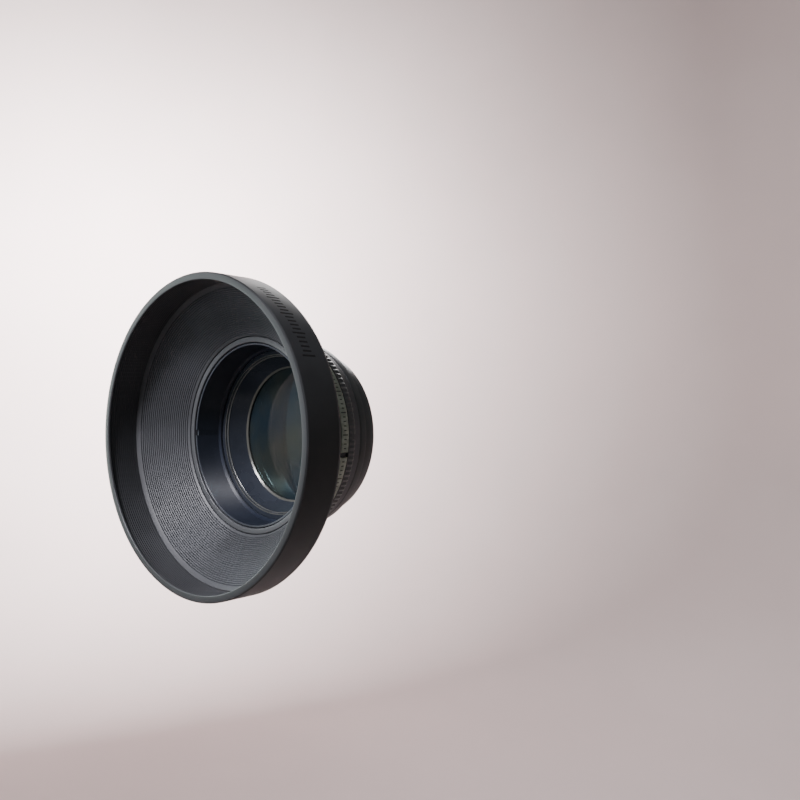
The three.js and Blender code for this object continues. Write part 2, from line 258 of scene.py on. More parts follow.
def slot_edges(centres, half_width):
    """Pairs of angles just inside and outside each slot, so that its sides are upright."""
    edges = [centre + side * half_width * share
             for centre in centres for side in (-1, 1) for share in (0.99, 1.01)]
    return [edge % TAU for edge in edges]


# ---------------------------------------------------------------- materials


class Shader:
    """A node material, built step by step. Patterns are laid out in the object's own space."""

    def __init__(self, name):
        self.material = bpy.data.materials.new(name)
        self.material.use_nodes = True
        self.tree = self.material.node_tree
        self.surface = self.tree.nodes["Principled BSDF"]
        self.place = self.add("ShaderNodeTexCoord").outputs["Object"]
        parts = self.add("ShaderNodeSeparateXYZ", Vector=self.place)
        self.x, self.y, self.z = parts.outputs
        self.radius = self.math("SQRT", self.math(
            "ADD", self.math("MULTIPLY", self.x, self.x), self.math("MULTIPLY", self.z, self.z)))
        self.angle = self.math("ARCTAN2", self.z, self.x)

    def add(self, kind, **inputs):
        node = self.tree.nodes.new(kind)
        for socket, value in inputs.items():
            self.put(node, socket.replace("_", " "), value)
        return node

    def put(self, node, socket, value):
        if isinstance(value, bpy.types.NodeSocket):
            self.tree.links.new(value, node.inputs[socket])
        else:
            node.inputs[socket].default_value = value

    def math(self, operation, *values, clamp=False):
        node = self.tree.nodes.new("ShaderNodeMath")
        node.operation = operation
        node.use_clamp = clamp
        for index, value in enumerate(values):
            self.put(node, index, value)
        return node.outputs[0]

    def noise(self, scale, detail=3.0, where=None, roughness=0.55):
        return self.add(
            "ShaderNodeTexNoise", Vector=where or self.place,
            Scale=scale, Detail=detail, Roughness=roughness,
        ).outputs["Fac"]

    def lathe_lines(self, scale):
        """Fine lines that run round the axis, as a turning tool leaves."""
        across = self.add("ShaderNodeCombineXYZ", X=self.radius, Y=self.y, Z=self.math(
            "MULTIPLY", self.angle, 0.0004))
        return self.noise(scale, 4.0, across.outputs[0])

    def round_axis(self):
        """The direction that runs round the optical axis."""
        tangent = self.add("ShaderNodeTangent")
        tangent.direction_type = "RADIAL"
        tangent.axis = "Y"
        return tangent.outputs["Tangent"]

    def spread(self, value, low, high, to_low=0.0, to_high=1.0):
        """value from low to high, carried to to_low to to_high with soft ends."""
        node = self.add(
            "ShaderNodeMapRange", Value=value,
            From_Min=low, From_Max=high, To_Min=to_low, To_Max=to_high,
        )
        node.interpolation_type = "SMOOTHSTEP"
        return node.outputs["Result"]

    def blend(self, share, first, second):
        """A colour mix."""
        node = self.tree.nodes.new("ShaderNodeMix")
        node.data_type = "RGBA"
        colours = [socket for socket in node.inputs if socket.type == "RGBA"]
        self.put(node, 0, share)
        for socket, value in zip(colours, (first, second)):
            if isinstance(value, bpy.types.NodeSocket):
                self.tree.links.new(value, socket)
            else:
                socket.default_value = (*value, 1.0)
        return [socket for socket in node.outputs if socket.type == "RGBA"][0]

    def wear(self):
        """The wear painted on the mesh, broken up by noise."""
        painted = self.add("ShaderNodeAttribute")
        painted.attribute_name = "wear"
        broken = self.math("ADD", self.noise(160.0, 5.0), self.math(
            "MULTIPLY", self.noise(1500.0, 2.0), 0.4))
        return self.math("MULTIPLY", painted.outputs["Fac"], self.spread(broken, 0.35, 0.85, 0.45, 1.25),
                         clamp=True)

    def bump(self, height, strength, distance, over=None):
        node = self.add("ShaderNodeBump", Height=height, Strength=strength, Distance=distance)
        if over:
            self.put(node, "Normal", over)
        return node.outputs["Normal"]

    def finish(self, **sockets):
        for socket, value in sockets.items():
            if socket == "Base_Color" and isinstance(value, tuple):
                value = (*value, 1.0)
            self.put(self.surface, socket.replace("_", " "), value)
        return self.material


# The third colour below is painted shade: the darker black that the band's outside and rim face are blended
# towards.
BARE_EDGE, DUST, PAINTED_SHADE_BLACK = (0.085, 0.087, 0.092), (0.26, 0.26, 0.27), (0.006, 0.006, 0.006)
ENGRAVED = (0.003, 0.003, 0.003)
OUTSIDE_RADIUS, RIM_FACE_DEPTH = 74.2, 0.2


def enamel(name, colour, roughness, bare_and_glint=BARE_EDGE, lines=0.35, turned=0.0, marks=None):
    """Satin black enamel over metal, worn pale on edges, with smudges, dust and tool lines. turned
    stretches highlights across the tool lines. marks adds engraving, paints shade onto the band's
    outside and rim face as a darker black, and lowers their specular level."""
    s = Shader(name)
    smudge = s.noise(22.0, 4.0)
    dust = s.spread(s.noise(2600.0, 2.0), 0.70, 0.78)
    wear = s.wear()
    deep = tuple(0.62 * part for part in colour)
    paint = s.blend(s.spread(smudge, 0.35, 0.7), deep, colour)
    paint = s.blend(s.math("MULTIPLY", dust, 0.28), paint, DUST)
    # Worn edges take the bare metal colour; for the filter cell this colour is also a painted glint.
    paint = s.blend(wear, paint, bare_and_glint)
    height = s.math("ADD", s.math("MULTIPLY", s.lathe_lines(5200.0), lines), s.noise(3800.0, 2.0))
    normal = s.bump(height, 0.16, 0.00006)
    rough = s.math("ADD", s.spread(smudge, 0.3, 0.75, roughness - 0.06, roughness + 0.09),
                   s.math("MULTIPLY", wear, -0.06))
    gloss = 0.5
    if marks:
        # Painted shade: the band's outside and its rim face are blended towards a darker black, which stands
        # in for the shade on them. Their specular level is lowered too.
        outside = s.math("GREATER_THAN", s.radius, OUTSIDE_RADIUS * MM)
        front = s.math("LESS_THAN", s.y, (RIM_Y + RIM_FACE_DEPTH) * MM)
        painted_shade_and_dull = s.math("MAXIMUM", outside, front)
        paint = s.blend(s.math("MULTIPLY", painted_shade_and_dull, 0.45), paint, PAINTED_SHADE_BLACK)
        gloss = s.math("SUBTRACT", 0.5, s.math("MULTIPLY", painted_shade_and_dull, 0.3))
        mask = marks(s)
        paint = s.blend(mask, paint, ENGRAVED)
        rough = s.math("ADD", rough, s.math("MULTIPLY", mask, 0.4))
        normal = s.bump(s.math("MULTIPLY", mask, -1.0), 0.8, 0.0005, normal)
    return s.finish(
        Base_Color=paint, Roughness=rough, Normal=normal, Specular_IOR_Level=gloss,
        Metallic=s.math("MULTIPLY", wear, 0.55), Anisotropic=turned, Anisotropic_Rotation=0.25,
        Tangent=s.round_axis(),
    )


def ticks(s, degrees, step, width):
    """(count, mask) of marks a step apart in degrees, each as wide as width of the step."""
    count = s.math("DIVIDE", degrees, step)
    beside = s.math("ABSOLUTE", s.math("SUBTRACT", s.math("FRACT", count), 0.5))
    return count, s.math("LESS_THAN", beside, width / 2)


def band_marks(s):
    """Engraved bars of two lengths, part of the way round the outside of the front band."""
    first, last, step, width = 27.0, 62.0, 1.75, 0.4
    short, longer, middle_depth, group = 0.0024, 0.0012, 8.8, 5.0
    degrees = s.math("MULTIPLY", s.angle, 360 / TAU)
    count, tick = ticks(s, s.math("SUBTRACT", degrees, first), step, width)
    inside = s.math("MULTIPLY", s.math("GREATER_THAN", degrees, first), s.math("LESS_THAN", degrees, last))
    longest = s.math("LESS_THAN", s.math("MODULO", count, group), 1.0)
    reach = s.math("ADD", short, s.math("MULTIPLY", longest, longer))
    offset = s.math("ABSOLUTE", s.math("SUBTRACT", s.y, (RIM_Y + middle_depth) * MM))
    outside = s.math("GREATER_THAN", s.radius, OUTSIDE_RADIUS * MM)
    in_height = s.math("LESS_THAN", offset, reach)
    return s.math("MULTIPLY", s.math("MULTIPLY", tick, inside), s.math("MULTIPLY", outside, in_height))


def scale_metal(name):
    """Dull grey-green anodised metal with dark division marks and rubbed edges."""
    s = Shader(name)
    step, width, group = 2.4, 0.26, 5.0
    short, longer = 0.0008, 0.0008
    grimy, clean = (0.13, 0.145, 0.11), (0.25, 0.27, 0.21)
    rubbed, ink = (0.45, 0.47, 0.44), (0.008, 0.009, 0.008)
    low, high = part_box("scale_band")
    count, tick = ticks(s, s.math("MULTIPLY", s.angle, 360 / TAU), step, width)
    from_start = s.math("ADD", count, 360 / step)
    tall = s.math("LESS_THAN", s.math("MODULO", from_start, group), 1.0)
    reach = s.math("ADD", short, s.math("MULTIPLY", tall, longer))
    offset = s.math("ABSOLUTE", s.math("SUBTRACT", s.y, (low.y + high.y) / 2))
    mask = s.math("MULTIPLY", tick, s.math("LESS_THAN", offset, reach))
    grime = s.spread(s.noise(260.0, 5.0), 0.4, 0.7)
    metal = s.blend(grime, grimy, clean)
    metal = s.blend(s.wear(), metal, rubbed)
    metal = s.blend(s.math("MULTIPLY", mask, 0.9), metal, ink)
    return s.finish(
        Base_Color=metal, Roughness=s.spread(grime, 0, 1, 0.5, 0.38), Metallic=0.35,
        Normal=s.bump(s.lathe_lines(6000.0), 0.12, 0.00005),
    )


def machined_steel(name):
    """Grey steel with fine tool marks and stains."""
    s = Shader(name)
    colour = (0.42, 0.42, 0.43)
    stain = s.spread(s.noise(260.0, 3.0), 0.35, 0.75)
    lines = s.noise(3000.0, 3.0)
    metal = s.blend(stain, colour, tuple(0.72 * part for part in colour))
    return s.finish(
        Base_Color=metal, Metallic=1.0, Roughness=s.spread(lines, 0.3, 0.7, 0.26, 0.38),
        Normal=s.bump(lines, 0.08, 0.00003),
    )


def filter_tint(name):
    """Dense neutral filter glass: a dark mirror-smooth face that lets a little light through. The
    coating's thickness, in nanometres, varies a little, which tints its reflections."""
    s = Shader(name)
    density, thinnest, thickest = 0.93, 186.0, 214.0
    bloom = s.spread(s.noise(34.0, 3.0), 0.3, 0.7)
    tint = s.blend(bloom, (0.006, 0.010, 0.014), (0.015, 0.016, 0.013))
    return s.finish(
        Base_Color=tint, Roughness=s.spread(s.noise(120.0, 4.0), 0.3, 0.8, 0.02, 0.09), IOR=1.7,
        Alpha=density, Thin_Film_IOR=1.38,
        Thin_Film_Thickness=s.spread(s.noise(26.0, 1.0), 0.36, 0.64, thinnest, thickest),
    )


def black_rubber(name):
    """Matt rubber with bloom."""
    s = Shader(name)
    bloom = s.spread(s.noise(300.0, 4.0), 0.35, 0.7)
    rubber = s.blend(bloom, (0.012, 0.012, 0.012), (0.030, 0.030, 0.031))
    return s.finish(Base_Color=rubber, Roughness=0.82, Normal=s.bump(s.noise(2500.0), 0.3, 0.0001))


def dark_felt(name):
    """Napped felt."""
    s = Shader(name)
    fibre = s.math("ADD", s.noise(1700.0, 6.0, roughness=0.8), s.math(
        "MULTIPLY", s.spread(s.noise(240.0, 2.0), 0.4, 0.6), 0.25))
    felt = s.blend(s.spread(fibre, 0.4, 0.8), (0.008, 0.008, 0.007), (0.050, 0.047, 0.042))
    return s.finish(
        Base_Color=felt, Roughness=0.96, Sheen_Weight=0.12,
        Normal=s.bump(fibre, 0.9, 0.0003),
    )


ENAMEL = enamel("black_enamel", (0.036, 0.037, 0.043), 0.52)
BAND_ENAMEL = enamel("band_enamel", (0.033, 0.034, 0.038), 0.50, marks=band_marks)
# The filter cell's worn edges get a paler, warm colour. Part of it is real wear, and part is a painted glint
# standing in for gold and white glints on the rings.
GLOSS = enamel("gloss_black", (0.020, 0.023, 0.031), 0.24, bare_and_glint=(0.105, 0.102, 0.090), lines=0.2)
# The sleeve's black is tinted blue as a painted reflection: the tint stands in for the bluish highlight
# streak along the tube.
TURNED_PAINTED_BLUE = enamel("turned_painted_blue", (0.013, 0.017, 0.029), 0.50, lines=0.2, turned=0.9)
SMALL_BLACK = enamel("small_black", (0.022, 0.022, 0.024), 0.36)
SCALE = scale_metal("scale_grey")
STEEL = machined_steel("machined_steel")
GLASS = filter_tint("neutral_glass")
RUBBER = black_rubber("gasket_rubber")
FELT = dark_felt("collar_felt")


def piece(obj, node, body, material):
    """Gives a piece its finish and its body, in place of its CAD node."""
    obj.data.materials.clear()
    obj.data.materials.append(material)
    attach(obj, body)
    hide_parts(node)


# ---------------------------------------------------------------- front band

BAND_WALL = 2.5
BAND_EDGE = 0.3
FRONT_ROUND = 0.5
SHOULDER_DEPTH, SHOULDER_WIDTH = 18.1, 1.5
SHOULDER_FALL, SHOULDER_RUN = 0.6, 0.7
RIM_LIP, RIM_LIP_DEPTH, RIM_CHAMFER = 3.5, 1.2, 0.3
BAND_GROOVE_PITCH, BAND_GROOVE_DEPTH = 1.1, 0.16
BAND_GROOVES_FRONT, BAND_GROOVES_REAR = 2.2, 15.9

band_radius, _, band_rear = size_of("front_band")
band_bore = band_radius - BAND_WALL
rim_bore = band_radius - RIM_LIP
band_outline = softened([
    (band_radius, FRONT_ROUND, 0.0),
    (band_radius, SHOULDER_DEPTH, 0.0),
    (band_radius - SHOULDER_FALL, band_rear - SHOULDER_RUN, 0.25),
    (band_radius - SHOULDER_WIDTH, band_rear, 0.3),
    (band_bore, band_rear, 0.0),
    (band_bore, BAND_GROOVES_REAR + BAND_EDGE, 0.0),
], BAND_EDGE)
band_outline += grooves(
    (band_bore, BAND_GROOVES_REAR), (band_bore, BAND_GROOVES_FRONT),
    BAND_GROOVE_PITCH, BAND_GROOVE_DEPTH, wear=0.0,
)
band_outline += softened([
    (rim_bore, RIM_LIP_DEPTH, 0.2),
    (rim_bore, RIM_CHAMFER, 0.6),
    (rim_bore + RIM_CHAMFER, 0.0, 0.0),
    (band_radius - FRONT_ROUND, 0.0, 0.0),
], FINE_EDGE)[2:-1]
piece(revolve("front_band_turned", band_outline), "front_band", "hood", BAND_ENAMEL)

# ---------------------------------------------------------------- cone dish

DISH_WALL = 2.7
HUB_RADIUS, HUB_BORE, HUB_SEAT_DEPTH = 49.5, 47.3, 35.3
FLOOR_RADIUS, FLOOR_DEPTH = 48.3, 33.3
FLOOR_WIDTH, LAND_WIDTH = 0.7, 2.1
CONE_GROOVE_PITCH, CONE_GROOVE_DEPTH = 1.03, 0.34

dish_radius, dish_front, dish_rear = size_of("cone_dish")
slope = (FLOOR_DEPTH - dish_front) / (dish_radius - FLOOR_RADIUS)
edge_radius = dish_radius - (band_rear - dish_front - DISH_WALL) / slope


def on_cone(radius):
    """The (radius, depth) of the cone's front face at a radius."""
    return radius, dish_front + (dish_radius - radius) * slope


dish_outline = softened([
    (dish_radius, dish_front, 0.1),
    (dish_radius, band_rear, 0.2),
    (edge_radius, band_rear, 0.0),
    (HUB_RADIUS, on_cone(HUB_RADIUS)[1] + DISH_WALL, 0.0),
    (HUB_RADIUS, dish_rear, 0.1),
    (HUB_BORE, dish_rear, 0.0),
    (HUB_BORE, HUB_SEAT_DEPTH, 0.0),
    (FLOOR_RADIUS, HUB_SEAT_DEPTH, 0.0),
    (FLOOR_RADIUS, FLOOR_DEPTH, 0.3),
], 0.2)
# The crests' wear makes them paler. Part of this is paint rubbed off the crests, and part is a painted
# highlight that strengthens the grooves' light and dark lines.
dish_outline += grooves(
    on_cone(FLOOR_RADIUS + FLOOR_WIDTH), on_cone(dish_radius - LAND_WIDTH),
    CONE_GROOVE_PITCH, CONE_GROOVE_DEPTH, wear=0.12,
)
piece(revolve("cone_dish_turned", dish_outline), "cone_dish", "hood", ENAMEL)

# ---------------------------------------------------------------- barrel and sleeve

LIP_THICKNESS, LIP_CHAMFER = 1.5, 0.3
BARREL_RADIUS, BARREL_BORE = 47.0, 45.3
STOP_BORE, STOP_DEPTH = 41.0, 53.3

lip_radius, lip_front, barrel_rear = size_of("filter_barrel")
barrel_outline = softened([
    (lip_radius, lip_front + LIP_CHAMFER, 0.6),
    (lip_radius, lip_front + LIP_THICKNESS, 0.0),
    (BARREL_RADIUS, lip_front + LIP_THICKNESS, 0.0),
    (BARREL_RADIUS, barrel_rear, 0.1),
    (STOP_BORE, barrel_rear, 0.0),
    (STOP_BORE, STOP_DEPTH, 0.0),
    (BARREL_BORE, STOP_DEPTH, 0.0),
    (BARREL_BORE, lip_front + LIP_CHAMFER, 0.3),
    (BARREL_BORE + LIP_CHAMFER, lip_front, 0.9),
    (lip_radius - LIP_CHAMFER, lip_front, 0.9),
], FINE_EDGE)
piece(revolve("filter_barrel_turned", barrel_outline), "filter_barrel", "hood", ENAMEL)

SLEEVE_BORE, SLEEVE_CHAMFER = 43.9, 0.2
SLEEVE_LIP_BORE, SLEEVE_LIP_LENGTH, SLEEVE_LIP_SLOPE = 42.5, 1.0, 0.5
SLEEVE_SLOT_DEPTH, SLEEVE_SLOT_WIDTH = 1.2, 3.0

sleeve_radius, sleeve_front, sleeve_rear = size_of("retaining_sleeve")
sleeve_slot_half = SLEEVE_SLOT_WIDTH / 2 / sleeve_radius
sleeve_lip_front = sleeve_rear - SLEEVE_LIP_LENGTH


def sleeve_slots(angle, radius, depth):
    """Two spanner slots in the sleeve's front edge."""
    from_slot = abs((angle + math.pi / 2) % math.pi - math.pi / 2)
    if from_slot < sleeve_slot_half:
        depth = max(depth, sleeve_front + SLEEVE_SLOT_DEPTH)
    return radius, depth


sleeve_outline = softened([
    (sleeve_radius, sleeve_front + SLEEVE_CHAMFER, 0.3),
    (sleeve_radius, sleeve_rear, 0.0),
    (SLEEVE_LIP_BORE, sleeve_rear, 0.0),
    (SLEEVE_LIP_BORE, sleeve_lip_front, 0.0),
    (SLEEVE_BORE, sleeve_lip_front - SLEEVE_LIP_SLOPE, 0.0),
    (SLEEVE_BORE, sleeve_front + SLEEVE_CHAMFER, 0.1),
    (SLEEVE_BORE + SLEEVE_CHAMFER, sleeve_front, 0.3),
    (sleeve_radius - SLEEVE_CHAMFER, sleeve_front, 0.3),
], 0.1, edge_wear=0.05)
sleeve = revolve(
    "retaining_sleeve_turned", sleeve_outline, shape=sleeve_slots,
    angles=slot_edges((0, math.pi), sleeve_slot_half),
)
piece(sleeve, "retaining_sleeve", "sleeve", TURNED_PAINTED_BLUE)

# ---------------------------------------------------------------- filter

CELL_FLANGE, CELL_CHAMFER = 2.1, 0.3
CELL_RADIUS, CELL_BORE = 40.6, 36.3
WINDOW_RADIUS, WINDOW_DEPTH, WINDOW_LIP = 33.8, 60.2, 0.7
WINDOW_LAND, WINDOW_RISE = 0.9, 0.5
MOUTH_RADIUS, MOUTH_STEP, MOUTH_DEPTH, MOUTH_RISE = 39.9, 0.4, 0.9, 0.1
FUNNEL_RADIUS, FUNNEL_RING_DEPTH, FUNNEL_DEPTH = 39.1, 1.2, 1.6
GLASS_CHAMFER = 0.2

cell_radius, cell_front, cell_rear = size_of("filter_rim")
cell_outline = softened([
    (cell_radius, cell_front + CELL_CHAMFER, 0.0),
    (cell_radius, cell_front + CELL_FLANGE, 0.0),
    (CELL_RADIUS, cell_front + CELL_FLANGE, 0.0),
    (CELL_RADIUS, cell_rear, 0.1),
    (CELL_BORE, cell_rear, 0.0),
    (CELL_BORE, WINDOW_DEPTH + WINDOW_LIP, 0.0),
    (WINDOW_RADIUS, WINDOW_DEPTH + WINDOW_LIP, 0.7),
    (WINDOW_RADIUS, WINDOW_DEPTH, 0.7),
    (WINDOW_RADIUS + WINDOW_LAND, WINDOW_DEPTH - WINDOW_RISE, 0.0),
    (FUNNEL_RADIUS, cell_front + FUNNEL_DEPTH, 0.0),
    (FUNNEL_RADIUS, cell_front + FUNNEL_RING_DEPTH, 0.5),
    (MOUTH_RADIUS - MOUTH_STEP, cell_front + MOUTH_DEPTH + MOUTH_RISE, 0.0),
    (MOUTH_RADIUS, cell_front + MOUTH_DEPTH, 0.2),
    (MOUTH_RADIUS, cell_front, 0.5),
    (MOUTH_RADIUS + MOUTH_STEP, cell_front, 0.0),
    (cell_radius - CELL_CHAMFER, cell_front, 0.0),
], 0.1, edge_wear=0.1)
piece(revolve("filter_rim_turned", cell_outline), "filter_rim", "filter", GLOSS)

glass_radius, glass_front, glass_rear = size_of("filter_glass")
glass_outline = [
    (0, glass_front, 0),
    (glass_radius - GLASS_CHAMFER, glass_front, 0),
    (glass_radius, glass_front + GLASS_CHAMFER, 0),
    (glass_radius, glass_rear - GLASS_CHAMFER, 0),
    (glass_radius - GLASS_CHAMFER, glass_rear, 0),
    (0, glass_rear, 0),
]
piece(revolve("filter_glass_disc", glass_outline), "filter_glass", "filter", GLASS)


def simple_ring(node, bore, body, material, edge=EDGE_ROUND, wear=0.1):
    """A plain ring with rounded corners in place of a CAD ring."""
    radius, front, rear = size_of(node)
    corners = [(radius, front, wear), (radius, rear, wear), (bore, rear, wear), (bore, front, wear)]
    piece(revolve(node + "_turned", softened(corners, edge)), node, body, material)


simple_ring("filter_retainer", WINDOW_RADIUS, "filter", SMALL_BLACK)
simple_ring("filter_gasket", STOP_BORE, "hood", RUBBER, edge=0.3)
simple_ring("lock_washer", HUB_BORE, "ring_washer", STEEL)

# ---------------------------------------------------------------- lock ring

STEP_RADIUS, STEP_LENGTH = 48.5, 5.2
RING_CHAMFER, GRIP_CHAMFER = 0.5, 0.7
KNURLS, KNURL_DEPTH, KNURL_MARGIN = 120, 0.45, 0.6
NOTCHES, NOTCH_WIDTH, NOTCH_LENGTH, NOTCH_DEPTH = 4, 3.0, 2.0, 1.2
NOTCH_EDGE = 0.05

ring_radius, ring_front, ring_rear = size_of("lock_ring")
step_rear = ring_front + STEP_LENGTH
notch_front = ring_rear - NOTCH_LENGTH
notch_half = NOTCH_WIDTH / 2 / ring_radius
notch_turn = TAU / NOTCHES
grip = rippled(KNURLS, KNURL_DEPTH, STEP_RADIUS + 1, step_rear + KNURL_MARGIN, ring_rear - KNURL_MARGIN)


def grip_and_notches(angle, radius, depth):
    """Knurling round the grip, and spanner notches in its rear edge."""
    from_notch = abs((angle + notch_turn / 2) % notch_turn - notch_turn / 2)
    if from_notch < notch_half and depth > notch_front:
        return min(radius, ring_radius - NOTCH_DEPTH), depth
    return grip(angle, radius, depth)


ring_outline = softened([
    (STEP_RADIUS, ring_front, 0.1),
    (STEP_RADIUS, step_rear, 0.0),
    (ring_radius, step_rear, 0.2),
    (ring_radius, step_rear + GRIP_CHAMFER, 0.15),
    (ring_radius, notch_front - NOTCH_EDGE, 0.15),
    (ring_radius, notch_front + NOTCH_EDGE, 0.15),
    (ring_radius, ring_rear - GRIP_CHAMFER, 0.2),
    (ring_radius - RING_CHAMFER, ring_rear, 0.2),
    (HUB_BORE, ring_rear, 0.0),
    (HUB_BORE, ring_front, 0.0),
], FINE_EDGE)
lock_ring = revolve(
    "lock_ring_turned", ring_outline, steps=4 * KNURLS, shape=grip_and_notches,
    angles=slot_edges([turn * notch_turn for turn in range(NOTCHES)], notch_half),
)
piece(lock_ring, "lock_ring", "ring", SMALL_BLACK)

SCALE_BORE = STEP_RADIUS + 0.3
SCALE_OPENING, SCALE_TURN = 2.4, math.radians(-9.5)
scale_radius, scale_front, scale_rear = size_of("scale_band")
scale_half = SCALE_OPENING / 2 / scale_radius
scale_outline = softened([
    (scale_radius, scale_front, 0.15),
    (scale_radius, scale_rear, 0.1),
    (SCALE_BORE, scale_rear, 0.0),
    (SCALE_BORE, scale_front, 0.1),
], 0.25)
scale_band = revolve(
    "scale_band_open", scale_outline,
    sweep=(SCALE_TURN + scale_half, SCALE_TURN - scale_half + TAU),
)
piece(scale_band, "scale_band", "ring", SCALE)

# ---------------------------------------------------------------- lens adapter

ADAPTER_CHAMFER = 0.4
COLLAR_RADIUS, COLLAR_BORE = 39.7, 37.7
BEAD_RADIUS, BEAD_LENGTH = 40.8, 1.0
SEAT_RADIUS, CLEAR_RADIUS, SEAT_RELIEF = 36.5, 35.2, 0.4
WEB_THICKNESS, POCKET_RADIUS = 1.5, 41.0
COLLAR_SLOT_WIDTH, COLLAR_SLOT_START = 1.6, 2.0
COUNTERBORE_RADIUS, COUNTERBORE_DEPTH = 2.2, 2.0
SCREW_CIRCLE, SCREW_COUNT = 43.8, 4
SCREW_ANGLES = [(index + 0.5) * TAU / SCREW_COUNT for index in range(SCREW_COUNT)]

flange_radius, flange_front, collar_rear = size_of("lens_adapter")
seat = -RIM_Y
web_front = seat - WEB_THICKNESS
adapter_outline = softened([
    (flange_radius, flange_front + ADAPTER_CHAMFER, 0.1),
    (flange_radius, seat - ADAPTER_CHAMFER, 0.3),
    (flange_radius - ADAPTER_CHAMFER, seat, 0.1),
    (COLLAR_RADIUS, seat, 0.0),
    (COLLAR_RADIUS, collar_rear - BEAD_LENGTH, 0.1),
    (BEAD_RADIUS, collar_rear - BEAD_LENGTH, 0.3),
    (BEAD_RADIUS, collar_rear, 0.5),
    (COLLAR_BORE + ADAPTER_CHAMFER, collar_rear, 0.4),
    (COLLAR_BORE, collar_rear - ADAPTER_CHAMFER, 0.0),
    (COLLAR_BORE, seat - SEAT_RELIEF, 0.0),
    (SEAT_RADIUS, seat - SEAT_RELIEF, 0.0),
    (SEAT_RADIUS, seat, 0.7),
    (CLEAR_RADIUS, seat, 0.2),
    (CLEAR_RADIUS, web_front, 0.0),
    (POCKET_RADIUS, web_front, 0.0),
    (POCKET_RADIUS, flange_front, 0.0),
    (flange_radius - ADAPTER_CHAMFER, flange_front, 0.1),
], FINE_EDGE)
adapter = revolve("lens_adapter_turned", adapter_outline, steps=ADAPTER_STEPS)


def on_screw_circle(angle):
    """The axis of a flange screw, from the plane of the lens seat rearwards."""
    return Matrix.Translation((
        SCREW_CIRCLE * MM * math.cos(angle), 0, SCREW_CIRCLE * MM * math.sin(angle)))


adapter_cuts = []
for angle in SCREW_ANGLES:
    adapter_cuts.append(hole(COUNTERBORE_RADIUS, -COUNTERBORE_DEPTH, CUT_MARGIN, on_screw_circle(angle), 32))
for angle in SCREW_ANGLES:
    adapter_cuts.append(wall_cutter(
        angle, COLLAR_BORE - CUT_MARGIN, BEAD_RADIUS + CUT_MARGIN,
        seat + COLLAR_SLOT_START, collar_rear + CUT_MARGIN, COLLAR_SLOT_WIDTH,
    ))
carve(adapter, adapter_cuts, edge=0.1)
piece(adapter, "lens_adapter", "hood", SMALL_BLACK)

SHANK_RADIUS = 1.1
HEAD_RADIUS, HEAD_HEIGHT = 1.9, 1.5
HEAD_CROWN, HEAD_CROWN_WIDTH = 0.15, 0.3
SLOT_WIDTH, SLOT_DEPTH = 0.6, 0.6


def flange_screw(node, angle):
    """A slotted cheese-head screw in place of one of the CAD screws."""
    low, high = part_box(node)
    tip, head_rear = low.y / MM, high.y / MM
    head_front = head_rear - HEAD_HEIGHT
    outline = softened([
        (0, tip, 0),
        (SHANK_RADIUS, tip, 0),
        (SHANK_RADIUS, head_front, 0),
        (HEAD_RADIUS, head_front, 0),
        (HEAD_RADIUS, head_rear - HEAD_CROWN, 0.2),
        (HEAD_RADIUS - HEAD_CROWN_WIDTH, head_rear, 0.2),
        (0, head_rear, 0),
    ], 0.1)
    place = on_screw_circle(angle)
    screw = rod(node + "_slotted", outline, place)
    across = HEAD_RADIUS + CUT_MARGIN
    slot = block(
        (-across, head_rear - SLOT_DEPTH, -SLOT_WIDTH / 2), (across, head_rear + CUT_MARGIN, SLOT_WIDTH / 2))
    slot.data.transform(place @ Matrix.Rotation(-angle, 4, "Y"))
    carve(screw, [slot], edge=0.06)
    piece(screw, node, "hood", STEEL)


for index, angle in enumerate(SCREW_ANGLES):
    flange_screw(f"adapter_screw_{index + 1}", angle)

FELT_RADIUS, FELT_BORE, FELT_OPENING, FELT_OPENING_RADIUS = 37.4, 36.8, 6.0, 37.0
_, felt_front, felt_rear = size_of("collar_felt")
felt_half = FELT_OPENING / 2 / FELT_OPENING_RADIUS
felt_outline = softened([
    (FELT_RADIUS, felt_front, 0),
    (FELT_RADIUS, felt_rear, 0),
    (FELT_BORE, felt_rear, 0),
    (FELT_BORE, felt_front, 0),
], 0.2)
felt = revolve("collar_felt_strip", felt_outline, sweep=(felt_half - math.pi, math.pi - felt_half))
piece(felt, "collar_felt", "hood", FELT)

# ---------------------------------------------------------------- clamp

CLAMP_BORE, CLAMP_RADIUS = 40.2, 42.4
EAR_FACE, EAR_BACK, EAR_ROOT, EAR_CHAMFER = 3.0, 6.0, 0.6, 1.0
HOLE_RADIUS, HOLE_REACH = 2.3, 8

clamp_low, clamp_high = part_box("clamp_band")
ear_tip = clamp_low.x / MM
ear_root = -CLAMP_RADIUS - EAR_ROOT


def arc(radius, offset, steps=180):
    """Points of the hoop, from the lower ear round by +X to the upper ear, as (x, z)."""
    stop = math.pi - math.asin(offset / radius)
    return [(radius * math.cos(a), radius * math.sin(a))
            for a in (stop * (2 * i / steps - 1) for i in range(steps + 1))]


